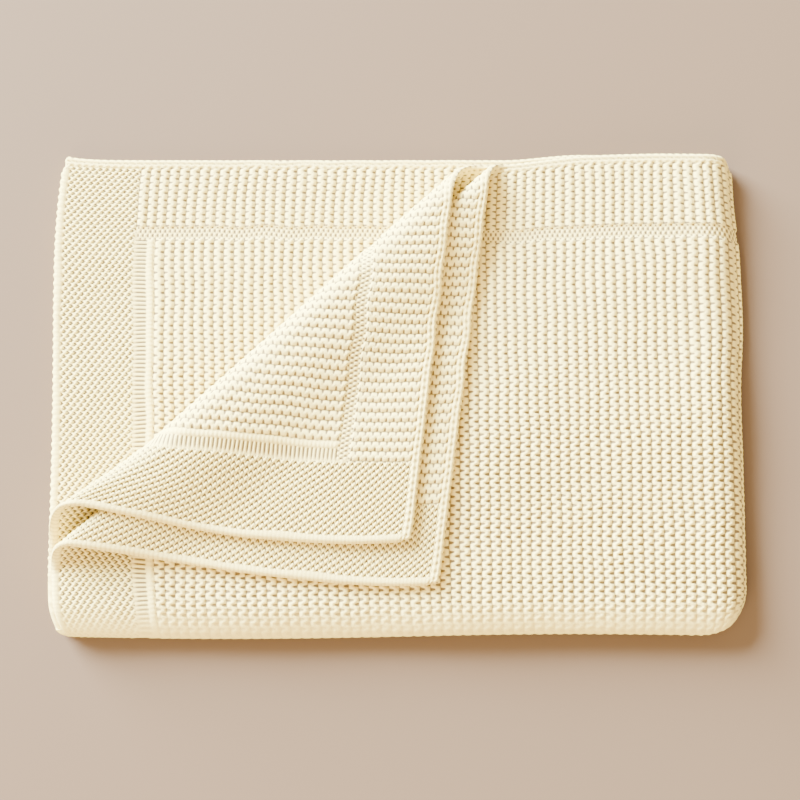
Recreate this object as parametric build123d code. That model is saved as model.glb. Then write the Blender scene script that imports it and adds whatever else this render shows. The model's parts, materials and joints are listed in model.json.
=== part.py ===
from build123d import *
from math import atan2, degrees
import os

# A knitted cotton throw, folded in half front to back and then in half side to side, so that
# four layers lie in a stack. The back-left corner of the two upper layers is turned back.
# Millimetres, +Z up. X runs along the long folded side, Y from the front folds to the open
# back edges, and the origin is under the middle of the stack, on the surface it lies on.

# ---- Driving dimensions -------------------------------------------------------------------
flat_length = 1000            # the opened throw along X
flat_width = 700              # the opened throw along Y
layer_thickness = 5.5         # the knit, lying loose
layer_gap = 0.5               # air between two layers that touch here and there
chain_width = 6.5             # chain-stitched edge at the back
selvedge_width = 8.0          # knitted side edge at the left
top_setback = 7.0             # the outer layer spends more of its length in the side fold

roll_start = 58.0             # front fold to the top layer's roll, along the left edge
roll_end = 324.5              # left edge to the same roll, along the back edge
roll_spacing = 14.6           # top layer's roll to the looser roll of the layer under it
top_corner = (29.5, -138.0)   # where the turned-back corner of the top layer lies
under_corner = (10.0, -108.0)  # and the corner of the layer under it
joint_clearance = 0.15        # each side of a plane where two moving halves meet
roll_clearance = 0.3          # between the standing roll and the layer ends beside it
wall_edge_radius = 3.0        # the standing roll's rounded outer edges

# ---- Places worked out from them ----------------------------------------------------------
left = -flat_length / 4
right = flat_length / 4
front = -flat_width / 4
back = flat_width / 4
top_left = left + top_setback
level_pitch = layer_thickness + layer_gap
slit_radius = layer_gap / 2
tight_radius = slit_radius + layer_thickness
wide_radius = tight_radius + level_pitch
side_axis_z = 2 * level_pitch - layer_gap / 2
corner_axis_z = 4 * level_pitch - layer_gap / 2
side_centre_x = right - wide_radius
front_centre_y = front + tight_radius
stack_top = 6 * level_pitch - layer_gap
reach = 2 * flat_length

# The top layer's roll runs from its left edge to its back edge, and the roll of the layer
# under it runs beside it, further out.
roll_a = Vector(top_left, front + roll_start)
roll_b = Vector(left + roll_end, back)
roll_along = (roll_b - roll_a).normalized()
roll_outward = roll_along.rotate(Axis.Z, 90)
roll_angle = degrees(atan2(roll_along.Y, roll_along.X))
spaced_roll = roll_a + roll_outward * roll_spacing
outer_roll_a = spaced_roll + roll_along * ((left - spaced_roll.X) / roll_along.X)
outer_roll_b = spaced_roll + roll_along * ((back - spaced_roll.Y) / roll_along.Y)


# ---- Shapes that repeat -------------------------------------------------------------------
def outside(start, end, inset=0):
    """A wide flat region to the left of the line start-end, begun `inset` before the line."""
    along = (end - start).normalized()
    towards = along.rotate(Axis.Z, 90)
    middle = (start + end) / 2 + towards * (reach / 2 - inset)
    turn = degrees(atan2(along.Y, along.X))
    return Location(middle, (0, 0, turn)) * Rectangle(2 * reach, reach)


def rectangle(x_from, x_to, y_from, y_to):
    """A flat rectangle between two X and two Y places."""
    middle = Location(((x_from + x_to) / 2, (y_from + y_to) / 2, 0))
    return middle * Rectangle(x_to - x_from, y_to - y_from)


def triangle(a, b, c):
    """A flat triangle through three points."""
    return make_face(Polyline(a, b, c, close=True))


def layer(outline, level):
    """One thickness of knit over an outline, at its level in the stack."""
    return Pos(0, 0, level * level_pitch) * extrude(outline, layer_thickness)


def block(x_from, x_to, y_from, y_to, z_from, z_to):
    """A box between two places along each axis."""
    return Pos(0, 0, z_from) * extrude(rectangle(x_from, x_to, y_from, y_to), z_to - z_from)


def ring(inner_radius, length):
    """A tube of knit with its axis along local Z."""
    outer = Cylinder(inner_radius + layer_thickness, length)
    return outer - Cylinder(inner_radius, 2 * length)


def front_fold(centre_z):
    """The half-round fold at the front that joins two layers of the stack."""
    tube = Location((0, front_centre_y, centre_z), (0, 90, 0)) * ring(slit_radius, 2 * reach)
    return tube & block(left, side_centre_x, front, front_centre_y, 0, stack_top)


def side_half(is_upper):
    """The space right of the side fold's axis, above or below the plane it opens at."""
    if is_upper:
        return side_axis_z + joint_clearance, stack_top
    return 0, side_axis_z - joint_clearance


def side_fold(inner_radius, y_from, y_to, is_upper):
    """A quarter of the fold at the right that joins the upper half to the lower half."""
    tube = Location((side_centre_x, 0, side_axis_z), (90, 0, 0)) * ring(inner_radius, 2 * reach)
    return tube & block(side_centre_x, right, y_from, y_to, *side_half(is_upper))


def corner_fold(is_upper):
    """The front fold where it runs on around the side fold, as half of a bent bead."""
    profile = Circle(tight_radius) - Circle(slit_radius)
    bead_centre = Location((side_centre_x + level_pitch, front_centre_y, side_axis_z))
    side_axis = Axis((side_centre_x, 0, side_axis_z), (0, 1, 0))
    bead = revolve(bead_centre * profile, side_axis, 360)
    return bead & block(side_centre_x, right, front, front_centre_y, *side_half(is_upper))


def diagonal_roll(is_upper):
    """Half of the tight roll where the top layer turns back along the diagonal."""
    centre = (roll_a + roll_b) / 2 - roll_outward * tight_radius
    axis_place = Location((centre.X, centre.Y, corner_axis_z), (0, 0, roll_angle))
    tube = axis_place * Rot(0, 90, 0) * ring(slit_radius, 2 * reach)
    z_from = corner_axis_z + joint_clearance if is_upper else 0
    z_to = stack_top if is_upper else corner_axis_z - joint_clearance
    kept = block(top_left, right, front, back, z_from, z_to)
    kept &= extrude(outside(roll_a, roll_b, tight_radius), stack_top)
    return tube & kept


# ---- The lower half: bottom layer, the layer on it, and their folds ------------------------
def lower_half(parts):
    lower_panel = rectangle(left + selvedge_width, side_centre_x, front_centre_y, back - chain_width)
    lower_selvedge = rectangle(left, left + selvedge_width, front_centre_y, back)
    lower_chain = rectangle(left + selvedge_width, side_centre_x, back - chain_width, back)
    inner_radii = {"bottom_layer": tight_radius + layer_gap, "second_layer": slit_radius}
    for level, name in enumerate(inner_radii):
        chain_bend = side_fold(inner_radii[name], back - chain_width, back, False)
        parts[name] = layer(lower_panel, level)
        parts[name + "_selvedge"] = layer(lower_selvedge, level)
        parts[name + "_chain_edge"] = layer(lower_chain, level) + chain_bend
        bend = side_fold(inner_radii[name], front_centre_y, back - chain_width, False)
        parts[name + "_side_fold"] = bend
    parts["lower_front_fold"] = front_fold(tight_radius)
    parts["lower_corner_fold"] = corner_fold(False)


# ---- The upper half: the two layers above, cut back to the rolls of the turned corner ------
def upper_half(parts):
    starts = {"third_layer": left, "top_layer": top_left}
    inner_radii = {"third_layer": slit_radius, "top_layer": tight_radius + layer_gap}
    roll_zone = {
        "third_layer": outside(outer_roll_a, outer_roll_b, layer_thickness + roll_clearance),
        "top_layer": outside(roll_a, roll_b, tight_radius),
    }
    for level, name in enumerate(starts, start=2):
        start = starts[name]
        panel = rectangle(start + selvedge_width, side_centre_x, front_centre_y, back - chain_width)
        selvedge = rectangle(start, start + selvedge_width, front_centre_y, back)
        chain = rectangle(start + selvedge_width, side_centre_x, back - chain_width, back)
        chain_bend = side_fold(inner_radii[name], back - chain_width, back, True)
        parts[name] = layer(panel - roll_zone[name], level)
        parts[name + "_selvedge"] = layer(selvedge - roll_zone[name], level)
        parts[name + "_chain_edge"] = layer(chain - roll_zone[name], level) + chain_bend
        bend = side_fold(inner_radii[name], front_centre_y, back - chain_width, True)
        parts[name + "_side_fold"] = bend
    parts["upper_front_fold"] = front_fold(2 * level_pitch + tight_radius)
    parts["upper_corner_fold"] = corner_fold(True)
    parts["top_layer_roll"] = diagonal_roll(False)


# ---- The turned-back corner -----------------------------------------------------------------
def turned_flap(parts, name, start, end, inset, tip, level):
    """One turned-back corner: its panel, its side edge in front and its chain edge at the right."""
    base_a = start - roll_outward * inset
    base_b = end - roll_outward * inset
    whole = triangle(base_a, tip, base_b)
    beyond_selvedge = outside(tip, base_a, selvedge_width)
    beyond_chain = outside(base_b, tip, chain_width)
    parts[name + "_flap"] = layer(whole - beyond_selvedge - beyond_chain, level)
    parts[name + "_flap_chain_edge"] = layer(whole & beyond_chain, level)
    parts[name + "_flap_selvedge"] = layer((whole & beyond_selvedge) - beyond_chain, level)


def standing_roll():
    """The looser roll of the third layer, standing from its own level up to the upper flap."""
    band = outside(outer_roll_a, outer_roll_b, layer_thickness) - outside(outer_roll_a, outer_roll_b)
    band &= rectangle(left, right, front, back)
    low = 2 * level_pitch
    wall = Pos(0, 0, low) * extrude(band, stack_top - low)
    outer_edges = wall.edges().filter_by(lambda edge: edge.length > flat_width / 4)
    middle = (outer_roll_a + outer_roll_b) / 2
    outer_edges = outer_edges.sort_by(lambda edge: (edge.center() - middle).dot(roll_outward))[-2:]
    return fillet(outer_edges, wall_edge_radius)


def turned_corner(parts):
    parts["top_flap_roll"] = diagonal_roll(True)
    turned_flap(parts, "top", roll_a, roll_b, tight_radius, Vector(*top_corner), 4)
    parts["third_layer_roll"] = standing_roll()
    inset = layer_thickness + roll_clearance
    turned_flap(parts, "under", outer_roll_a, outer_roll_b, inset, Vector(*under_corner), 5)


def build():
    parts = {}
    lower_half(parts)
    upper_half(parts)
    turned_corner(parts)
    os.makedirs("parts", exist_ok=True)
    for name, shape in parts.items():
        shape.label = name
        export_step(shape, f"parts/{name}.step")


build()
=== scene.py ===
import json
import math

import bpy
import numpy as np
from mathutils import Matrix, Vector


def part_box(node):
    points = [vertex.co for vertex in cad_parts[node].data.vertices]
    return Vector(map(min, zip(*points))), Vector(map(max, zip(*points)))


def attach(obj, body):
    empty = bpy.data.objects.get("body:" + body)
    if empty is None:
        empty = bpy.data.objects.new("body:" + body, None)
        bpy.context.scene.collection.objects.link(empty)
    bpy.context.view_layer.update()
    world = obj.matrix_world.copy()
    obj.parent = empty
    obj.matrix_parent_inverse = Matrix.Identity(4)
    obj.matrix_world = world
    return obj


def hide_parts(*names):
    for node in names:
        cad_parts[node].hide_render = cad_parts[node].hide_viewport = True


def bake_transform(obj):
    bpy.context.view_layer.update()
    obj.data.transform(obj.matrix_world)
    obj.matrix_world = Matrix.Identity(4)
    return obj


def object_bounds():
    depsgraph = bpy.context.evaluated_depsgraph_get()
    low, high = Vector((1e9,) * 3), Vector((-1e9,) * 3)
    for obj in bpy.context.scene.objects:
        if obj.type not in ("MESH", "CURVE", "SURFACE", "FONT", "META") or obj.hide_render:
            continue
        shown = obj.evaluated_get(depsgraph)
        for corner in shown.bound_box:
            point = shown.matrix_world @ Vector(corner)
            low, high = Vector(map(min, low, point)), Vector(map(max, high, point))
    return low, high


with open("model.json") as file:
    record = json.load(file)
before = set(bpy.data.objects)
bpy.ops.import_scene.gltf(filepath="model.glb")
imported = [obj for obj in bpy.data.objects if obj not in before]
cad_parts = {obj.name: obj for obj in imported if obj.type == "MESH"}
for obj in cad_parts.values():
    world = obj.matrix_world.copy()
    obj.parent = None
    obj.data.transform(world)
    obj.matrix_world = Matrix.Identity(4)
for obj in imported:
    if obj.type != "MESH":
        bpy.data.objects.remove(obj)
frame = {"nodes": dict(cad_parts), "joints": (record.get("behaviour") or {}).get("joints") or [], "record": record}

# A knitted throw, folded in quarters, with a corner of its two upper layers turned back. The
# whole throw is one cloth: a point of it has a place (u, v) on the flat cloth, u along the long
# side and v along the short side, and a height off the cloth's middle. folded() carries that
# place through the front fold, the side fold and the diagonal roll. Metres.

CAD_LOW, CAD_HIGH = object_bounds()

# ---- The folded stack, from the frame -------------------------------------------------------
bottom_low, bottom_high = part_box("bottom_layer")
THICKNESS = bottom_high.z - bottom_low.z
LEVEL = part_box("second_layer")[0].z - bottom_low.z
LEFT, RIGHT = CAD_LOW.x, CAD_HIGH.x
FRONT, BACK = CAD_LOW.y, CAD_HIGH.y
JOINTS = {joint["name"]: joint for joint in frame["joints"]}

HALF_LEVEL = LEVEL / 2
INNER_OFFSET = HALF_LEVEL             # middle of the inner layers, from the plane of opening
OUTER_OFFSET = INNER_OFFSET + LEVEL   # middle of the outer layers, from the same plane
OPENING_Z = JOINTS["side_fold_opening"]["pos_m"][2]
BEND_X = RIGHT - OUTER_OFFSET - THICKNESS / 2
BEND_Y = FRONT + HALF_LEVEL + THICKNESS / 2
BEND_RADIUS = (OUTER_OFFSET + INNER_OFFSET) / 2

LAYER_LENGTH = BACK - BEND_Y
FRONT_ARC = math.pi * HALF_LEVEL
V_BEND = LAYER_LENGTH
V_FLAT = LAYER_LENGTH + FRONT_ARC
V_END = V_FLAT + LAYER_LENGTH
U_BEND = BEND_X - LEFT
SIDE_ARC = math.pi * BEND_RADIUS
U_FLAT = U_BEND + SIDE_ARC
U_END = U_FLAT + U_BEND
U_MIDDLE, V_MIDDLE = U_END / 2, V_END / 2

# ---- The knit, measured on the flat cloth ---------------------------------------------------
RIDGE = 0.0073            # garter ridge to ridge
BAND_RIDGE = 0.0050       # the tighter ridges of the band along the short sides
EDGE_STITCH = 0.0054      # stitch to stitch along a ridge, near the long sides
FIELD_STITCH = 0.0060     # the same where the field begins
MIDDLE_STITCH = 0.0068    # and at the middle of the cloth
SELVEDGE = 0.0062         # rolled edge along the short sides
CHAIN = 0.0066            # chain-stitched edge along the long sides
CHAIN_LINK = 0.0054
BAND_END = 0.0580         # where the short side's band stops at the ladder
LINE_WIDTH = 0.0098       # the ladder beside that band: a sunk line with rungs
COLUMN_WIDTH = 0.0058     # smooth column between the ladder and the field
LADDER_END = BAND_END + LINE_WIDTH
COLUMN_END = LADDER_END + COLUMN_WIDTH
TOP_LINE = 0.0510         # long edge to the sunk line of pits along it
TOP_LINE_WIDTH = 0.0090
TOP_LINE_ROWS = 1.5       # rows of pits in it
LINE_START = 0.003        # over this length both sunk lines begin where they meet a band
OPENING_START = 0.08      # this far from the long sides the garter stitch begins to open up
OPENING_LENGTH = 0.16
WANDER = 0.0006           # how far the rows and the stitches wander off their straight lines
CORE = 0.0007             # half the cloth's thickness at its deepest slits
RELIEF = THICKNESS / 2 - CORE
STRETCH_REACH = 0.016     # the knit is pulled flatter this near the front fold
EDGE_ROUND = 0.0030       # how far from its edge the cloth starts to round off
SWING = 0.27              # how far the yarn swings from the middle of its ridge, in ridges
WINDING = 1.9             # how steeply it swings
SQUARENESS = 0.10         # how much it dwells at the two sides of the ridge
CLOSED_HALF = 0.30        # half the yarn's width near the cloth's edges, in ridges
OPEN_HALF = 0.225         # and where the knit opens up
YARN_ROUNDNESS = 2.6      # exponents: the higher, the flatter the top and the steeper the sides
CROWN_ROUNDNESS = 2.1
CLOSED_SHARE = 0.27       # the yarn's share of a ridge's height; the rest is the ridge's crown
OPEN_SHARE = 0.33         # and what it gains where the knit opens up
SCALE_BEND = 0.17         # how far the bands' stitches bend into arcs, in their ridges
SCALE_HEIGHT = 0.46       # half the height of those arcs
GARTER_VARIETY = 0.12     # how much single stitches differ in height
SCALE_VARIETY = 0.15

# ---- The soft shape of the stack ------------------------------------------------------------
NOSE = 0.027              # how far from the folds the stack starts to slope down
NOSE_START = 0.003
FRONT_RIGHT_CORNER = (0.036, 0.036)
FRONT_LEFT_CORNER = (0.019, 0.027)
BACK_RIGHT_CORNER = (0.007, 0.007)
CLOTH_CORNER = (0.005, 0.005)
SCALLOP = 0.0005          # the short edge that stays below is a little scalloped
SCALLOP_LENGTH = 0.0058
SCALLOP_REACH = 0.010
LEFT_BOW = 0.0045         # how far the open edges of the cloth bow out from a straight line
BACK_BOW = 0.0045
RIGHT_BOW = 0.0020
FRONT_WAVE = 0.0017       # the front fold sways forwards at the left and backwards at the right
BACK_BULGE = 0.0043       # the back edge stands out further right of the rolls
BACK_BULGE_START = 0.078
BACK_BULGE_LENGTH = 0.060
SHOULDER = 0.0040         # the side fold is widest behind its middle
SHOULDER_START = -0.007   # where that begins along Y, and over what length it grows
SHOULDER_LENGTH = 0.070
SHOULDER_END = 0.105      # where it begins to lose a part of that again, and over what length
SHOULDER_FALL = 0.042
SHOULDER_LOSS = 0.6
SIDE_REACH = 0.060        # how far from the side fold its outline still shifts the cloth
EAR = 0.0040              # the corner that stays below is pulled out a little further
EAR_LENGTH = 0.011
FRONT_INSET = 0.0055      # and the left side of the stack draws in towards the front
INSET_REACH = 0.060
LOWER_SETBACK = 0.001     # the lower front fold lies a little behind the upper one
SIDE_MARGIN = 0.015       # flat cloth beside the side fold, in the same piece as the fold
TOP_RADII = (0.0085, 0.0069)      # the top layer's roll, at its front and back ends
UNDER_RADII = (0.0143, 0.0127)    # the roll of the layer under it
SETTLE = 0.060            # over this distance a flap comes down from its roll to its own level
UNDER_LAG = 0.0088        # the under flap first runs on level for this long
PULL_REACH = 0.110        # how far from the rolls' front ends their upper sides lean outwards
PULL_START = 0.2          # that lean starts this far round a roll, as a share of it
TOP_PULL = 0.010
UNDER_PULL = 0.023
TOP_SETBACK = 0.005       # the top layer's left edge lies this far inside the others'
ROLL_MARGIN = 0.15        # cloth beside each roll that is in the same piece, as a share of the roll
UNEVENNESS = 0.0007       # how far the lying cloth rises and sinks
UNEVEN_LENGTH = 0.11

# ---- The mesh -------------------------------------------------------------------------------
SAMPLES_PER_RIDGE = 9
BLOCK = 3                 # grid cells along a block; hidden faces have one cell per block
STEP = RIDGE / SAMPLES_PER_RIDGE
FOLD_STEP = 0.7 * STEP    # finer round the side fold, where the outer layer is the longer one

# ---- The yarn's colour, and the shade painted into its slits --------------------------------
YARN_TOP = (0.98, 0.79, 0.24)
# Painted shade: the next two darker, warmer colours stand in for the shade down the sides and at the bottom of the
# slits; YARN_TOP is the yarn's own cream.
YARN_SIDE_PAINTED_SHADE = (0.72, 0.545, 0.165)
YARN_DEEP_PAINTED_SHADE = (0.20, 0.14, 0.058)
# A slit's depth is 1 at its bottom and 0 or less beside it; it sets how much shade is painted
# there. Each pair is what the pattern's own value is multiplied by and what is added to it.
GARTER_GAP = (8.0, -2.10)
GARTER_GAP_OPENS = 0.60
GARTER_VALLEY = (7.0, -2.60)
SCALE_GAP = (-4.2, -1.0)
SCALE_GAP_SQUARENESS = 2.5
LADDER_GAP = (-1.0, 0.45)
PIT_GAP = (-1.4, 0.30)


# ---- Small helpers --------------------------------------------------------------------------
def ease(x):
    """Smooth step from 0 to 1."""
    x = np.clip(x, 0, 1)
    return x * x * (3 - 2 * x)


def between(x, low, high, soft=0.0009):
    """1 between two places, with soft ends."""
    return ease((x - low) / soft + 0.5) * ease((high - x) / soft + 0.5)


def ripple(x, y, wavelength, waves=6, seed=1):
    """Smooth irregular waves of about that wavelength, mostly from -1 to 1."""
    own = np.random.default_rng(seed)
    gain = 1.6
    total = np.zeros_like(x)
    for _ in range(waves):
        angle = own.uniform(0, 2 * math.pi)
        length = wavelength * own.uniform(0.7, 1.5)
        shift = own.uniform(0, 2 * math.pi)
        along = x * math.cos(angle) + y * math.sin(angle)
        total += np.sin(2 * math.pi * along / length + shift)
    return total / waves * gain


def stitch_noise(row, column, seed):
    """One steady random value from -1 to 1 for each stitch."""
    value = np.sin(row * 127.1 + column * 311.7 + seed * 74.7) * 43758.5453
    return 2 * (value - np.floor(value)) - 1


# ---- The knit's own relief ------------------------------------------------------------------
def stitch_count(n):
    """How many stitches lie between a long edge and the distance n from it."""
    field_start = TOP_LINE + TOP_LINE_WIDTH
    growth = (MIDDLE_STITCH - FIELD_STITCH) / (V_MIDDLE - field_start)
    beyond = np.maximum(n - field_start, 0)
    return np.minimum(n, field_start) / EDGE_STITCH + np.log1p(growth * beyond / FIELD_STITCH) / growth


def ridge_count(m):
    """How many ridges lie between the distance m from a short edge and the start of the field."""
    before = np.minimum(m - BAND_END, 0) / BAND_RIDGE
    beyond = np.maximum(m - BAND_END, 0) / RIDGE
    return before + beyond - (LINE_WIDTH + COLUMN_WIDTH) / RIDGE


def garter(ridge, stitch, openness):
    """Height of garter stitch: a thick yarn winds from side to side along a ridge. Near the
    cloth's edges its turns lie close, and further in they open up."""
    row = np.floor(ridge)
    across = ridge - row - 0.5
    wave = 2 * math.pi * stitch
    middle = SWING * (np.sin(wave) + SQUARENESS * np.sin(3 * wave))
    slope = WINDING * (np.cos(wave) + 3 * SQUARENESS * np.cos(3 * wave))
    distance = np.abs(across - middle) / np.sqrt(1 + slope * slope)
    half_width = CLOSED_HALF + (OPEN_HALF - CLOSED_HALF) * openness
    yarn = np.exp(-(distance / half_width) ** YARN_ROUNDNESS)
    crown = 1 - np.abs(2 * across) ** CROWN_ROUNDNESS
    lively = 1 + GARTER_VARIETY * stitch_noise(row, np.floor(stitch * 2 + 0.5), seed=5)
    share = CLOSED_SHARE + OPEN_SHARE * openness
    return share * yarn * lively + (1 - share) * crown


def scales(ridge, stitch):
    """Height of the bands' tight stitches: short arcs in staggered rows, like the scales of a fish."""
    bent = ridge - SCALE_BEND * np.cos(4 * math.pi * stitch)
    columns = np.cos(2 * math.pi * bent)
    rows = np.tanh(2 * np.cos(2 * math.pi * stitch))
    lively = 1 + SCALE_VARIETY * stitch_noise(np.floor(2 * ridge), np.floor(2 * stitch), seed=6)
    return SCALE_HEIGHT + SCALE_HEIGHT * lively * columns * rows


class Relief:
    """Height of the knit from 0 to 1. It starts as garter stitch and scales, and then other
    stitches cover it in their own places. plain is how much of the start is left, and slit is
    how much shade the material paints on the rest: deep between its yarns and on rounded sides that fall away."""

    def __init__(self, height):
        self.height = height
        self.slit = np.zeros_like(height)
        self.plain = np.ones_like(height)

    def cover(self, height, slit, share):
        self.height = self.height + (height - self.height) * share
        self.slit = self.slit + (slit - self.slit) * share
        self.plain = self.plain * (1 - share)


def add_ladder(relief, m, stitch, inside_line):
    """Rungs across the sunk line beside the short side's band. Returns how deep it is sunk."""
    least, level = 0.35, 0.45
    share = between(m, BAND_END, LADDER_END) * inside_line
    deep = least + (1 - least) * ease(2 * (m - BAND_END) / LINE_WIDTH)
    rungs = 0.5 + 0.5 * np.cos(4 * math.pi * stitch)
    relief.cover(level + deep * (rungs - 0.85) * 0.5, 0, share)
    return share * deep


def add_column(relief, m, stitch, inside_line):
    """The smooth rounded column between the ladder and the field."""
    round_top = np.sqrt(np.clip(1 - ((m - LADDER_END) / COLUMN_WIDTH * 2 - 1) ** 2, 0, 1))
    beaded = 0.74 + 0.10 * np.cos(2 * math.pi * (2 * stitch))
    share = between(m, LADDER_END, COLUMN_END) * inside_line
    # Its slit value paints shade on the column's sides, where its round top falls away.
    relief.cover(beaded * round_top, 0.85 * (1 - round_top), share)


def add_pits(relief, m, n, ridge):
    """Staggered pits in the sunk line along the long side. Returns where the line and its rows are."""
    level, depth = 0.30, 0.30
    pit_row = TOP_LINE_ROWS * (n - TOP_LINE) / TOP_LINE_WIDTH
    checks = np.cos(4 * math.pi * ridge) * np.cos(2 * math.pi * pit_row)
    line = between(n, TOP_LINE, TOP_LINE + TOP_LINE_WIDTH) * ease((m - BAND_END) / LINE_START)
    relief.cover(level + depth * checks, 0, line)
    return line, pit_row


def add_selvedge(relief, m, stitch):
    """The short side's rolled edge, with a groove between every two of its stitches."""
    middle, half_width, softness = 0.46 * SELVEDGE, 0.62 * SELVEDGE, 0.0012
    groove = np.exp(-((2 * stitch % 1 - 0.5) / 0.2) ** 2)
    bulge = 0.90 - 0.16 * groove
    rolled = np.sqrt(np.clip(1 - ((m - middle) / half_width) ** 2, 0, 1))
    share = ease((SELVEDGE - m) / softness + 0.5)
    # Its slit value paints shade in the grooves and on the sides where the rolled edge turns away.
    relief.cover(bulge * rolled, 0.5 * groove + 0.6 * (1 - rolled), share)


def add_chain(relief, m, n):
    """The long side's chain of links: two strands that sway, with a hole in every link."""
    near_place, far_place, sway, lag = 0.27, 0.74, 0.05, 2.2
    half_width, softness = 0.23 * CHAIN, 0.0010
    link = 2 * math.pi * m / CHAIN_LINK
    near = np.abs(n - CHAIN * (near_place + sway * np.sin(link)))
    far = np.abs(n - CHAIN * (far_place + sway * np.sin(link + lag)))
    strand = np.exp(-(np.minimum(near, far) / half_width) ** YARN_ROUNDNESS)
    strand = strand * (0.90 + 0.06 * np.cos(link))
    hole = (1 - strand) * ease(0.5 + np.cos(link))
    share = ease((CHAIN - n) / softness + 0.5)
    # Its slit value paints shade in each link's hole and between the two strands.
    relief.cover(0.10 + 0.85 * strand, 0.25 + 1.1 * hole - 0.25 * strand, share)


def knit(m, n):
    """Relief from 0 to 1, and what the material needs, at distance m from the short edge and n
    from the long edge."""
    flattened = 0.7
    m = m + WANDER * ripple(m, n, wavelength=0.05, seed=2)
    n = n + WANDER * ripple(m, n, wavelength=0.04, seed=3)
    ridge, stitch = ridge_count(m), stitch_count(n)
    inside_line = ease((n - TOP_LINE) / LINE_START)
    openness = ease((n - OPENING_START) / OPENING_LENGTH)
    in_band = 1.0 * (m < BAND_END)
    relief = Relief(np.where(in_band > 0, scales(ridge, stitch), garter(ridge, stitch, openness)))
    ladder = add_ladder(relief, m, stitch, inside_line)
    add_column(relief, m, stitch, inside_line)
    line, pit_row = add_pits(relief, m, n, ridge)
    add_selvedge(relief, m, stitch)
    add_chain(relief, m, n)
    stretched = np.exp(-((n - V_MIDDLE) / STRETCH_REACH) ** 2)
    marks = {"ridge": ridge, "stitch": stitch, "openness": openness, "in_band": in_band,
             "ladder": ladder, "line": line, "pit_row": pit_row,
             "plain": relief.plain, "slit": relief.slit, "stretched": stretched}
    return relief.height * (1 - flattened * stretched), marks


def cloth_relief(u, v):
    """Distance of the knit's surface from the cloth's middle, and what the material needs.
    Round the side fold the stitches are counted at each layer's own radius."""
    thinnest = 0.01
    m = np.minimum(u, U_END - u)
    n = np.minimum(v, V_END - v)
    _, offset = front_fold(v, 0)
    m = m + np.maximum(m - U_BEND, 0) * (offset / BEND_RADIUS - 1)
    height, marks = knit(m, n)
    rim = np.clip(np.minimum(m, n) / EDGE_ROUND, thinnest, 1)
    return (CORE + RELIEF * height) * np.sqrt(1 - (1 - rim) ** 2), marks


# ---- The folds ------------------------------------------------------------------------------
def front_fold(v, w):
    """Y, and the distance from the plane of opening, at v along the cloth and w off its middle."""
    turn = np.clip((v - V_BEND) / HALF_LEVEL, 0, math.pi)
    before = np.maximum(V_BEND - v, 0)
    after = np.maximum(v - V_FLAT, 0)
    y = BEND_Y - (HALF_LEVEL + w) * np.sin(turn) + before + after
    offset = BEND_RADIUS + (HALF_LEVEL + w) * np.cos(turn)
    return y, offset


def side_fold(u, offset):
    """X and Z at u along the cloth, at that distance from the plane of opening."""
    turn = np.clip((u - U_BEND) / BEND_RADIUS, 0, math.pi)
    before = np.maximum(U_BEND - u, 0)
    after = np.maximum(u - U_FLAT, 0)
    x = BEND_X + offset * np.sin(turn) - before - after
    return x, OPENING_Z - offset * np.cos(turn)


def round_corner(x, y, corner, toward, radii):
    """Draws a corner of the stack's outline in to an arc. toward is the sign of X and Y at it."""
    a = np.clip(((x - corner[0]) * toward[0] + radii[0]) / radii[0], 0, 1)
    b = np.clip(((y - corner[1]) * toward[1] + radii[1]) / radii[1], 0, 1)
    x = x - toward[0] * radii[0] * a * (1 - np.sqrt(1 - b * b / 2))
    y = y - toward[1] * radii[1] * b * (1 - np.sqrt(1 - a * a / 2))
    return x, y


def slope_down(x, y, z):
    """The stack gets lower towards its front and side folds."""
    least = 0.02
    near_front = np.maximum(NOSE - np.maximum(y - FRONT, 0), 0)
    near_side = np.maximum(NOSE - np.maximum(RIGHT - x, 0), 0)
    inside = NOSE - np.hypot(near_front, near_side)
    share = np.clip((inside + NOSE_START) / (NOSE + NOSE_START), least, 1)
    return z * np.sqrt(1 - (1 - share) ** 2)


def share_left(x):
    """1 at the left side of the stack, 0 at its right side."""
    return (RIGHT - x) / (RIGHT - LEFT)


def bend_sides(x, y, along):
    """X, with the left and right sides of the stack bowed. along is 0 in front, 1 at the back."""
    x = x - LEFT_BOW * np.sin(math.pi * along ** 3) * share_left(x)
    shoulder = ease((y - SHOULDER_START) / SHOULDER_LENGTH)
    shoulder = shoulder * (1 - SHOULDER_LOSS * ease((y - SHOULDER_END) / SHOULDER_FALL))
    wider = RIGHT_BOW * np.sin(math.pi * along) + SHOULDER * shoulder
    return x + wider * ease((x - RIGHT + SIDE_REACH) / SIDE_REACH)


def bend_edges(x, y, along, stays_below):
    """Y, with the back edges bowed, the lower corner pulled out and the front fold swaying."""
    bow = BACK_BOW * (1 - np.clip(1 - 2 * share_left(x), 0, 1) ** 6)
    ear = EAR * np.exp((LEFT - x) / EAR_LENGTH) * stays_below
    y = y + (bow + ear) * along ** 2
    y = y + BACK_BULGE * ease((x - BACK_BULGE_START) / BACK_BULGE_LENGTH) * along ** 8
    return y + FRONT_WAVE * np.sin(2 * math.pi * share_left(x)) * (1 - along) ** 4


def round_corners(x, y):
    """All four corners of the stack's outline, drawn in to arcs."""
    x, y = round_corner(x, y, (RIGHT, FRONT), (1, -1), FRONT_RIGHT_CORNER)
    x, y = round_corner(x, y, (LEFT, FRONT), (-1, -1), FRONT_LEFT_CORNER)
    x, y = round_corner(x, y, (RIGHT, BACK), (1, 1), BACK_RIGHT_CORNER)
    return round_corner(x, y, (LEFT, BACK), (-1, 1), CLOTH_CORNER)


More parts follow.
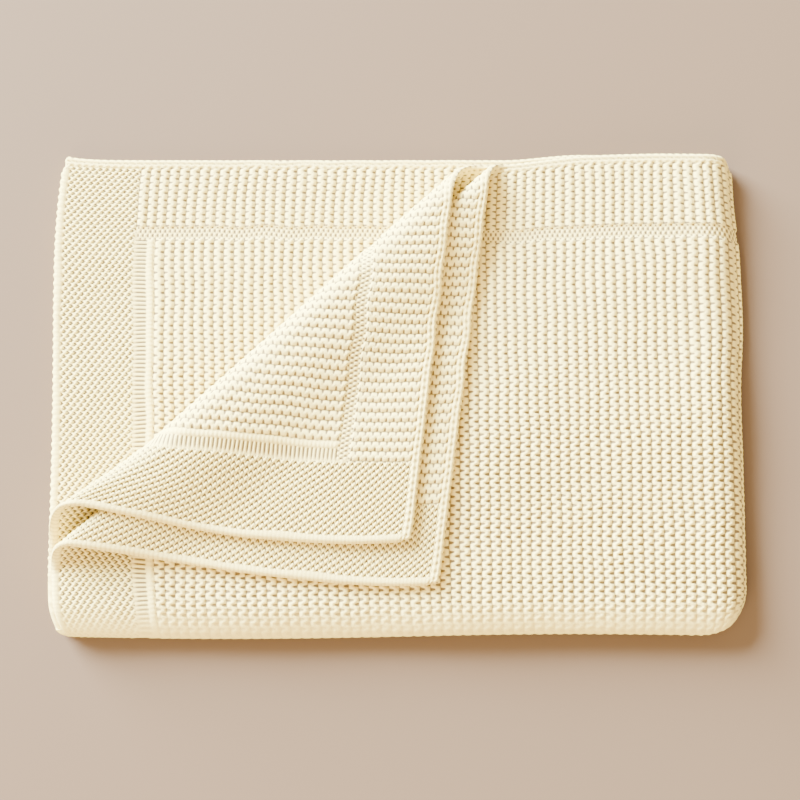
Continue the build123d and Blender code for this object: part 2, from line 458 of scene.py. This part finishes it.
def stack(u, v, w):
    """A point of the cloth in the folded stack, before the corner is turned back."""
    stays_below = u < U_MIDDLE
    at_edge = 1 - ease(np.minimum(u, U_END - u) / SCALLOP_REACH)
    u = u + SCALLOP * np.sin(2 * math.pi * v / SCALLOP_LENGTH) * at_edge * stays_below
    y, offset = front_fold(v, w)
    x, z = side_fold(u, offset)
    lower = ease((U_BEND - u) / SIDE_MARGIN)
    y = y + LOWER_SETBACK * lower * ease((FRONT + NOSE - y) / NOSE)
    along = np.clip((y - FRONT) / (BACK - FRONT), 0, 1)
    x = bend_sides(x, y, along)
    y = bend_edges(x, y, along, stays_below)
    near_front = np.clip((FRONT + INSET_REACH - y) / INSET_REACH, 0, 1)
    x = x + FRONT_INSET * near_front ** 2 * share_left(x)
    x, y = round_corners(x, y)
    return x, y, slope_down(x, y, z)


# ---- The turned-back corner -----------------------------------------------------------------
class Roll:
    """A turn of one layer along the diagonal. Its radius shrinks towards the back, and the flap
    beyond it settles down to its own level."""

    def __init__(self, joint, flap_node, middle, flap_middle, radii, pull, lag, setback):
        place, axis = JOINTS[joint]["pos_m"], JOINTS[joint]["axis"]
        self.along = -Vector((axis[0], axis[1]))
        self.out = Vector((-self.along.y, self.along.x))
        self.tip = Vector((place[0], place[1]))
        self.middle, self.flap_middle = middle, flap_middle
        self.radii, self.pull, self.lag, self.setback = radii, pull, lag, setback
        front_end = self.tip.y - (self.tip.x - LEFT) / self.along.x * self.along.y
        back_end = self.tip.x + (BACK - self.tip.y) / self.along.y * self.along.x
        self.ends = [self.along_roll(LEFT, front_end), self.along_roll(back_end, BACK)]
        flap_points = (vertex.co for vertex in frame["nodes"][flap_node].data.vertices)
        corner = min(flap_points, key=lambda point: point.y)
        out_of_line = self.distance_out(corner.x, corner.y)
        radius, start, arc = self.section(corner.x, corner.y)
        home = self.along * self.along_roll(corner.x, corner.y) + self.out * (2 * start + arc - out_of_line)
        self.slip = self.tip + home - Vector((LEFT + setback, BACK + BACK_BOW))

    def along_roll(self, x, y):
        """Distance of a point along the roll."""
        return (x - self.tip.x) * self.along.x + (y - self.tip.y) * self.along.y

    def distance_out(self, x, y):
        """Distance of a point outwards from the joint's axis."""
        return (x - self.tip.x) * self.out.x + (y - self.tip.y) * self.out.y

    def section(self, x, y):
        """Radius of the roll beside a point, where the roll starts and its length of cloth."""
        share = ease((self.along_roll(x, y) - self.ends[0]) / (self.ends[1] - self.ends[0]))
        radius = self.radii[0] + (self.radii[1] - self.radii[0]) * share
        return radius, -(radius + THICKNESS / 2), math.pi * radius

    def slipped(self, x, y):
        """The layer lies a little askew, so that its corner starts from its own place."""
        share = np.clip(share_left(x), 0, 1)
        corner_share = share * np.clip((y - FRONT) / (BACK - FRONT), 0, 1)
        return x + self.setback * share + self.slip.x * corner_share, y + self.slip.y * corner_share

    def share_rolled(self, x, y):
        """0 where the roll starts, 1 where the flap starts."""
        _, start, arc = self.section(x, y)
        return (self.distance_out(x, y) - start) / arc

    def turned(self, x, y, z):
        """The point after the roll."""
        radius, start, arc = self.section(x, y)
        beyond = self.distance_out(x, y) - start
        turn = np.clip(beyond / radius, 0, math.pi)
        inward = radius - (z - self.middle)
        outward = inward * np.sin(turn) - np.maximum(beyond - arc, 0)
        moved = np.where(beyond > 0, outward - beyond, 0)
        settled = ease((beyond - arc - self.lag) / SETTLE) * (self.middle + 2 * radius - self.flap_middle)
        z = np.where(beyond > 0, self.middle + radius - inward * np.cos(turn) - settled, z)
        near_end = 1 - ease((self.along_roll(x, y) - self.ends[0]) / PULL_REACH)
        moved = moved + self.pull * near_end * ease(beyond / arc - PULL_START)
        return x + moved * self.out.x, y + moved * self.out.y, z


LAYER_MIDDLES = [bottom_low.z + THICKNESS / 2 + LEVEL * step for step in range(6)]
top_roll = Roll("corner_turning", "top_flap_chain_edge", LAYER_MIDDLES[3], LAYER_MIDDLES[4],
                TOP_RADII, TOP_PULL, 0.0, TOP_SETBACK)
under_roll = Roll("under_roll_tipping", "under_flap_chain_edge", LAYER_MIDDLES[2], LAYER_MIDDLES[5],
                  UNDER_RADII, UNDER_PULL, UNDER_LAG, 0.0)


def askew(u, v, w):
    """A point of the stack, with the two upper layers slipped a little."""
    x, y, z = stack(u, v, w)
    upper = ease((u - U_FLAT) / SIDE_MARGIN)
    top_x, top_y = top_roll.slipped(x, y)
    under_x, under_y = under_roll.slipped(x, y)
    is_top = v < V_MIDDLE
    x = x + np.where(is_top, top_x - x, under_x - x) * upper
    y = y + np.where(is_top, top_y - y, under_y - y) * upper
    return x, y, z


def folded(u, v, w):
    """A point of the finished, folded throw."""
    x, y, z = askew(u, v, w)
    z = z + UNEVENNESS * ripple(x, y, UNEVEN_LENGTH, seed=9) * np.clip(z / LAYER_MIDDLES[3], 0, 1.3)
    is_upper = u > U_FLAT
    for roll, is_layer in ((top_roll, v < V_MIDDLE), (under_roll, v >= V_MIDDLE)):
        turned = roll.turned(x, y, z)
        use = is_upper & is_layer
        x, y, z = (np.where(use, new, old) for new, old in zip(turned, (x, y, z)))
    return np.stack([x, y, z], -1)


# ---- Meshes ---------------------------------------------------------------------------------
def grid_lines(length, step):
    """Evenly spaced places along the cloth, a whole number of blocks."""
    blocks = max(1, round(length / (step * BLOCK)))
    return np.linspace(0, length, blocks * BLOCK + 1)


def joined(*runs):
    """Several runs of grid lines, end to end."""
    places = [runs[0]]
    for run in runs[1:]:
        places.append(places[-1][-1] + run[1:])
    return np.concatenate(places)


U_LINES = joined(
    grid_lines(U_BEND - SIDE_MARGIN, STEP),
    grid_lines(SIDE_ARC + 2 * SIDE_MARGIN, FOLD_STEP),
    grid_lines(U_BEND - SIDE_MARGIN, STEP),
)
V_LINES = joined(grid_lines(V_BEND, STEP), grid_lines(FRONT_ARC, STEP), grid_lines(V_BEND, STEP))
U_GRID, V_GRID = np.meshgrid(U_LINES, V_LINES, indexing="ij")
CELLS = np.ones((BLOCK, BLOCK), bool)


class Side:
    """One side of the whole cloth: its points, its normals and what the material needs."""

    def __init__(self, sign):
        height, self.marks = cloth_relief(U_GRID, V_GRID)
        self.points = folded(U_GRID, V_GRID, sign * height)
        along_u = np.gradient(self.points, axis=0)
        along_v = np.gradient(self.points, axis=1)
        normals = -sign * np.cross(along_u, along_v)
        shortest = 1e-12
        lengths = np.linalg.norm(normals, axis=-1, keepdims=True)
        self.normals = normals / np.maximum(lengths, shortest)


OUTER, INNER = Side(1), Side(-1)


def face_loops(keep, step, index, flip):
    """Corner indices of the grid faces in the kept blocks."""
    i, j = np.nonzero(keep if step == BLOCK else np.kron(keep, CELLS))
    i, j = i * step, j * step
    corners = [index[i, j], index[i + step, j], index[i + step, j + step], index[i, j + step]]
    return np.stack(corners[::-1] if flip else corners, -1)


def rim_loops(keep, outer, inner, inner_step):
    """Faces that join the two sides of the cloth along the edges of the kept blocks."""
    padded = np.pad(keep, 1)
    rims = []
    for di, dj in ((-1, 0), (1, 0), (0, -1), (0, 1)):
        beside = padded[1 + di: padded.shape[0] - 1 + di, 1 + dj: padded.shape[1] - 1 + dj]
        i, j = np.nonzero(keep & ~beside)
        i, j = (i + (di > 0)) * BLOCK, (j + (dj > 0)) * BLOCK
        near = [outer[i + k * abs(dj), j + k * abs(di)] for k in range(BLOCK + 1)]
        far = [inner[i + k * abs(dj), j + k * abs(di)] for k in range(0, BLOCK + 1, inner_step)]
        order = near + far[::-1] if (di > 0 or dj < 0) else near[::-1] + far
        rims.append(np.stack(order, -1))
    return rims


def vertex_mask(keep):
    """Which grid points belong to the kept blocks."""
    cells = np.pad(np.kron(keep, CELLS), 1)
    return cells[1:, 1:] | cells[:-1, 1:] | cells[1:, :-1] | cells[:-1, :-1]


def build_mesh(name, keep, inner_step):
    """A closed piece of the cloth over the kept blocks. Its inner side has one vertex in every
    inner_step grid lines."""
    outer_mask = vertex_mask(keep)
    inner_mask = np.zeros_like(outer_mask)
    inner_mask[::inner_step, ::inner_step] = outer_mask[::inner_step, ::inner_step]
    outer, inner = (np.full(outer_mask.shape, -1) for _ in range(2))
    outer[outer_mask] = np.arange(outer_mask.sum())
    inner[inner_mask] = outer_mask.sum() + np.arange(inner_mask.sum())
    loops = [face_loops(keep, 1, outer, flip=True), face_loops(keep, inner_step, inner, flip=False)]
    loops += rim_loops(keep, outer, inner, inner_step)

    def gathered(of_side):
        return np.concatenate([of_side(OUTER)[outer_mask], of_side(INNER)[inner_mask]])

    marks = {key: gathered(lambda side, key=key: side.marks[key]) for key in OUTER.marks}
    marks["u"] = np.concatenate([U_GRID[outer_mask], U_GRID[inner_mask]])
    marks["v"] = np.concatenate([V_GRID[outer_mask], V_GRID[inner_mask]])
    return make_object(name, gathered(lambda side: side.points), gathered(lambda side: side.normals),
                       [faces for faces in loops if len(faces)], marks)


def make_object(name, points, normals, loops, marks):
    """A smooth mesh object from points, normals and faces, with a named value on each vertex."""
    corners = np.concatenate([faces.ravel() for faces in loops])
    sizes = np.concatenate([np.full(len(faces), faces.shape[1]) for faces in loops])
    mesh = bpy.data.meshes.new(name)
    mesh.vertices.add(len(points))
    mesh.vertices.foreach_set("co", points.astype(np.float32).ravel())
    mesh.loops.add(len(corners))
    mesh.loops.foreach_set("vertex_index", corners.astype(np.int32))
    mesh.polygons.add(len(sizes))
    mesh.polygons.foreach_set("loop_start", (np.cumsum(sizes) - sizes).astype(np.int32))
    mesh.update(calc_edges=True)
    mesh.shade_smooth()
    mesh.normals_split_custom_set_from_vertices(normals)
    for key, values in marks.items():
        mesh.attributes.new(key, "FLOAT", "POINT").data.foreach_set("value", values.astype(np.float32))
    made = bpy.data.objects.new(name, mesh)
    bpy.context.scene.collection.objects.link(made)
    return made


# ---- Pieces of the cloth --------------------------------------------------------------------
def block_centres():
    """u and v of the middle of each block of the grid."""
    u = (U_LINES[:-BLOCK:BLOCK] + U_LINES[BLOCK::BLOCK]) / 2
    v = (V_LINES[:-BLOCK:BLOCK] + V_LINES[BLOCK::BLOCK]) / 2
    return np.meshgrid(u, v, indexing="ij")


def share_rolled(roll, u, v):
    """How far along the roll each place of the flat cloth lies, from 0 to 1."""
    x, y, _ = askew(u, v, np.zeros_like(u))
    return roll.share_rolled(x, y)


def blend_over(piece, share_of):
    """Works out a share from 0 to 1 for each point from its place on the flat cloth, lays the piece out along it
    for a moment, and then puts its shape back as it was.
    """
    values = {}
    for key in ("u", "v"):
        values[key] = np.zeros(len(piece.data.vertices), np.float32)
        piece.data.attributes[key].data.foreach_get("value", values[key])
    share = share_of(values["u"].astype(float), values["v"].astype(float))
    shape = np.zeros(len(share) * 3, np.float32)
    piece.data.vertices.foreach_get("co", shape)
    laid_out = np.stack([share, np.zeros_like(share), np.zeros_like(share)], -1)
    piece.data.vertices.foreach_set("co", laid_out.astype(np.float32).ravel())
    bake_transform(piece)
    piece.data.vertices.foreach_set("co", shape)
    piece.data.update()


DIAGONAL_STRIPS = ("top_roll_cloth", "under_rise_cloth", "under_fall_cloth")


def declare_sheet(keep, is_strip):
    """Works out the size that the kept blocks have on the flat cloth; nothing is returned."""
    widths, lengths = np.diff(U_LINES[::BLOCK]), np.diff(V_LINES[::BLOCK])
    area = (np.outer(widths, lengths) * keep).sum()
    width, length = (widths * keep.any(axis=1)).sum(), (lengths * keep.any(axis=0)).sum()
    if is_strip:
        length = math.hypot(width, length)
        width = area / length


def lay_cloth(cotton):
    """Every piece of the cloth, four of them riding on their bodies."""
    u, v = block_centres()
    upper = u > U_FLAT + SIDE_MARGIN
    top = np.where(upper & (v < V_MIDDLE), share_rolled(top_roll, u, v), -1)
    under = np.where(upper & (v >= V_MIDDLE), share_rolled(under_roll, u, v), -1)
    rolled_from, rolled_to = -ROLL_MARGIN, 1 + ROLL_MARGIN
    blocks = {
        "lower_cloth": (u < U_BEND - SIDE_MARGIN, BLOCK),
        "side_fold_cloth": (np.abs(u - U_MIDDLE) < SIDE_ARC / 2 + SIDE_MARGIN, BLOCK),
        "upper_cloth": (upper & (top < rolled_from) & (under < rolled_from), BLOCK),
        "top_roll_cloth": ((top > rolled_from) & (top < rolled_to), 1),
        "top_flap_cloth": (top > rolled_to, 1),
        "under_rise_cloth": ((under > rolled_from) & (under < 0.5), 1),
        "under_fall_cloth": ((under > 0.5) & (under < rolled_to), 1),
        "under_flap_cloth": (under > rolled_to, 1),
    }
    pieces = {}
    for name, (keep, inner_step) in blocks.items():
        piece = build_mesh(name, keep, inner_step)
        piece.data.materials.append(cotton)
        declare_sheet(keep, is_strip=name in DIAGONAL_STRIPS)
        pieces[name] = piece

    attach(pieces["lower_cloth"], "lower_half")
    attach(pieces["upper_cloth"], "upper_half")
    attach(pieces["top_flap_cloth"], "top_corner")
    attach(pieces["under_flap_cloth"], "under_corner")
    side_start, side_length = U_BEND - SIDE_MARGIN, SIDE_ARC + 2 * SIDE_MARGIN
    blend_over(pieces["side_fold_cloth"],
               lambda u, v: (u - side_start) / side_length)
    blend_over(pieces["top_roll_cloth"],
               lambda u, v: share_rolled(top_roll, u, v))
    blend_over(pieces["under_rise_cloth"],
               lambda u, v: share_rolled(under_roll, u, v) * 2)
    blend_over(pieces["under_fall_cloth"],
               lambda u, v: share_rolled(under_roll, u, v) * 2 - 1)
    return pieces


# ---- Material -------------------------------------------------------------------------------
class Nodes:
    """Short calls for building a node tree."""

    def __init__(self, material):
        material.use_nodes = True
        self.tree = material.node_tree
        self.shader = self.tree.nodes["Principled BSDF"]

    def feed(self, socket, value):
        if isinstance(value, (int, float)):
            socket.default_value = value
        else:
            self.tree.links.new(value, socket)

    def math(self, operation, *values):
        node = self.tree.nodes.new("ShaderNodeMath")
        node.operation = operation
        for socket, value in zip(node.inputs, values):
            self.feed(socket, value)
        return node.outputs[0]

    def mark(self, name):
        node = self.tree.nodes.new("ShaderNodeAttribute")
        node.attribute_name = name
        return node.outputs["Fac"]

    def noise(self, vector, scale, detail=2.0):
        node = self.tree.nodes.new("ShaderNodeTexNoise")
        node.inputs["Scale"].default_value = scale
        node.inputs["Detail"].default_value = detail
        self.tree.links.new(vector, node.inputs["Vector"])
        return node.outputs["Fac"]

    def vector(self, *values):
        node = self.tree.nodes.new("ShaderNodeCombineXYZ")
        for socket, value in zip(node.inputs, values):
            self.feed(socket, value)
        return node.outputs[0]

    def ramp(self, factor, *stops):
        node = self.tree.nodes.new("ShaderNodeValToRGB")
        elements = node.color_ramp.elements
        while len(elements) < len(stops):
            elements.new(1)
        for element, (place, colour) in zip(elements, stops):
            element.position = place
            element.color = (*colour, 1)
        self.tree.links.new(factor, node.inputs["Fac"])
        return node.outputs["Color"]


def garter_slit(nodes, ridge, stitch, openness):
    """The painted shade in the slits of the garter stitch and in the valleys between its ridges,
    worked out again at every point of the surface, and how far off its yarn's middle the point lies."""
    wave = nodes.math("MULTIPLY", stitch, 2 * math.pi)
    triple = nodes.math("MULTIPLY", wave, 3.0)
    middle = nodes.math("MULTIPLY_ADD", nodes.math("SINE", triple), SQUARENESS, nodes.math("SINE", wave))
    slope = nodes.math("MULTIPLY_ADD", nodes.math("COSINE", triple), 3 * SQUARENESS,
                       nodes.math("COSINE", wave))
    slope = nodes.math("MULTIPLY", slope, WINDING)
    steep = nodes.math("SQRT", nodes.math("MULTIPLY_ADD", slope, slope, 1.0))
    across = nodes.math("SUBTRACT", nodes.math("FRACT", ridge), 0.5)
    offset = nodes.math("DIVIDE", nodes.math("MULTIPLY_ADD", middle, -SWING, across), steep)
    steepness, start = GARTER_GAP
    start = nodes.math("MULTIPLY_ADD", openness, GARTER_GAP_OPENS, start)
    gap = nodes.math("MULTIPLY_ADD", nodes.math("ABSOLUTE", offset), steepness, start)
    valley = nodes.math("MULTIPLY_ADD", nodes.math("ABSOLUTE", across), *GARTER_VALLEY)
    rounding = 0.3
    return nodes.math("SMOOTH_MAX", gap, valley, rounding), offset


def scale_slit(nodes, ridge, stitch):
    """The painted shade in the slits between the bands' short arcs."""
    bend = nodes.math("COSINE", nodes.math("MULTIPLY", stitch, 4 * math.pi))
    bent = nodes.math("MULTIPLY_ADD", bend, -SCALE_BEND, ridge)
    columns = nodes.math("COSINE", nodes.math("MULTIPLY", bent, 2 * math.pi))
    rows = nodes.math("COSINE", nodes.math("MULTIPLY", stitch, 2 * math.pi))
    rows = nodes.math("TANH", nodes.math("MULTIPLY", rows, SCALE_GAP_SQUARENESS))
    return nodes.math("MULTIPLY_ADD", nodes.math("MULTIPLY", columns, rows), *SCALE_GAP)


def ladder_slit(nodes, stitch):
    """The painted shade in the slits between the rungs of the ladder."""
    rungs = nodes.math("COSINE", nodes.math("MULTIPLY", stitch, 4 * math.pi))
    return nodes.math("MULTIPLY_ADD", rungs, *LADDER_GAP)


def pit_slit(nodes, ridge, pit_row):
    """The painted shade in the staggered pits of the sunk line along the long sides."""
    columns = nodes.math("COSINE", nodes.math("MULTIPLY", ridge, 4 * math.pi))
    rows = nodes.math("COSINE", nodes.math("MULTIPLY", pit_row, 2 * math.pi))
    return nodes.math("MULTIPLY_ADD", nodes.math("MULTIPLY", columns, rows), *PIT_GAP)


def mixed(nodes, first, second, share):
    """From the first value to the second, by a share from 0 to 1."""
    return nodes.math("MULTIPLY_ADD", share, nodes.math("SUBTRACT", second, first), first)


def slit_depth(nodes, ridge, stitch, plain):
    """How deep every point lies in a slit, from 0 to 1, which sets its painted shade and its fine bump, and how
    far off its yarn's middle it is.
    """
    rounding, flattened = 0.2, 0.8
    slit, offset = garter_slit(nodes, ridge, stitch, nodes.mark("openness"))
    slit = mixed(nodes, slit, scale_slit(nodes, ridge, stitch), nodes.mark("in_band"))
    depth = mixed(nodes, nodes.mark("slit"), slit, plain)
    depth = mixed(nodes, depth, ladder_slit(nodes, stitch), nodes.mark("ladder"))
    depth = mixed(nodes, depth, pit_slit(nodes, ridge, nodes.mark("pit_row")), nodes.mark("line"))
    depth = nodes.math("MAXIMUM", nodes.math("SMOOTH_MIN", depth, 1.0, rounding), 0.0)
    # The painted shade fades where the knit is stretched flat near the front fold.
    closed = nodes.math("MULTIPLY_ADD", nodes.mark("stretched"), -flattened, 1.0)
    return nodes.math("MULTIPLY", depth, closed), offset


def uneven(nodes, value, noise, strength):
    """The value with some of a noise added to it and as much taken away."""
    return nodes.math("MULTIPLY_ADD", nodes.math("SUBTRACT", noise, 0.5), strength, value)


def yarn_bump(nodes, offset, stitch, plain, depth, fuzz):
    """The surface's fine relief: the plies twisted round the yarn, its fuzz and its slits."""
    ply_lean, ply_pitch = 26.0, 38.0
    twist = nodes.math("MULTIPLY_ADD", offset, ply_lean, nodes.math("MULTIPLY", stitch, ply_pitch))
    plies = nodes.math("MULTIPLY", nodes.math("SINE", twist), plain)
    height = nodes.math("MULTIPLY_ADD", plies, 0.12, nodes.math("MULTIPLY", depth, -0.8))
    height = nodes.math("MULTIPLY_ADD", fuzz, 0.8, height)
    bump = nodes.tree.nodes.new("ShaderNodeBump")
    bump.inputs["Strength"].default_value = 0.7
    bump.inputs["Distance"].default_value = 0.0006
    nodes.feed(bump.inputs["Height"], height)
    return bump.outputs["Normal"]


def cotton_material():
    """Cream cotton yarn, with shade painted warmer and darker down in its slits, plied and a little fuzzy."""
    material = bpy.data.materials.new("cream_cotton")
    nodes = Nodes(material)
    ridge, stitch, plain = nodes.mark("ridge"), nodes.mark("stitch"), nodes.mark("plain")
    depth, offset = slit_depth(nodes, ridge, stitch, plain)
    place = nodes.vector(nodes.mark("u"), nodes.mark("v"), 0.0)
    drift = nodes.noise(place, scale=30.0)
    fleck = nodes.noise(place, scale=900.0, detail=3.0)
    fuzz = nodes.noise(place, scale=2600.0)
    depth = uneven(nodes, uneven(nodes, depth, fleck, 0.22), drift, 0.12)
    # Painted shade: the colour goes from the yarn's own cream to darker, warmer colours as the slit deepens.
    colour = nodes.ramp(depth, (0.0, YARN_TOP), (0.55, YARN_SIDE_PAINTED_SHADE), (1.0, YARN_DEEP_PAINTED_SHADE))
    shader = nodes.shader.inputs
    nodes.feed(shader["Base Color"], colour)
    nodes.feed(shader["Normal"], yarn_bump(nodes, offset, stitch, plain, depth, fuzz))
    nodes.feed(shader["Roughness"], nodes.math("MULTIPLY_ADD", fuzz, 0.2, 0.72))
    shader["Sheen Weight"].default_value = 0.15
    shader["Sheen Roughness"].default_value = 0.5
    shader["Sheen Tint"].default_value = (1.0, 0.92, 0.70, 1)
    shader["Specular IOR Level"].default_value = 0.25
    return material


pieces = lay_cloth(cotton_material())
for body, cad_nodes in frame["record"]["behaviour"]["bodies"].items():
    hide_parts(*cad_nodes)


# ---- Camera, light and floor ----------------------------------------------------------------
def make_camera():
    """Looks down on the throw from the front, nearly from straight above."""
    camera = bpy.data.objects.new("camera", bpy.data.cameras.new("camera"))
    bpy.context.scene.collection.objects.link(camera)
    elevation = math.radians(80.5)
    distance = 1.047
    target = Vector((0.002, -0.004, 0.015))
    back = Vector((0, -math.cos(elevation), math.sin(elevation)))
    camera.location = target + back * distance
    camera.rotation_mode = "QUATERNION"
    camera.rotation_quaternion = (-back).to_track_quat("-Z", "Y")
    camera.data.lens = 64.9
    camera.data.sensor_width = 36
    bpy.context.scene.camera = camera


def make_floor():
    """A plain pale floor."""
    bpy.ops.mesh.primitive_plane_add(size=6, location=(0, 0, 0))
    floor = bpy.context.object
    floor.name = "floor"
    material = bpy.data.materials.new("paper")
    material.use_nodes = True
    shader = material.node_tree.nodes["Principled BSDF"].inputs
    shader["Base Color"].default_value = (0.130, 0.079, 0.042, 1)
    shader["Roughness"].default_value = 0.9
    floor.data.materials.append(material)


def area_light(name, place, size, energy, colour):
    """A soft square light that shines at the middle of the floor."""
    light = bpy.data.objects.new(name, bpy.data.lights.new(name, "AREA"))
    bpy.context.scene.collection.objects.link(light)
    light.data.size = size
    light.data.energy = energy
    light.data.color = colour
    light.location = place
    light.rotation_mode = "QUATERNION"
    light.rotation_quaternion = place.to_track_quat("Z", "Y")


def make_lights():
    """A large cool light from the back left, and warm light from everywhere else."""
    cool, warm = (0.76, 0.89, 1.0), (1.0, 0.82, 0.56)
    area_light("key", Vector((-3.9, 3.5, 2.05)), size=3.1, energy=6650, colour=cool)
    area_light("fill", Vector((-1.2, -2.2, 1.4)), size=1.5, energy=135, colour=warm)
    world = bpy.data.worlds.new("studio")
    world.use_nodes = True
    background = world.node_tree.nodes["Background"].inputs
    background["Color"].default_value = (*warm, 1)
    background["Strength"].default_value = 2.2
    bpy.context.scene.world = world


make_camera()
make_floor()
make_lights()
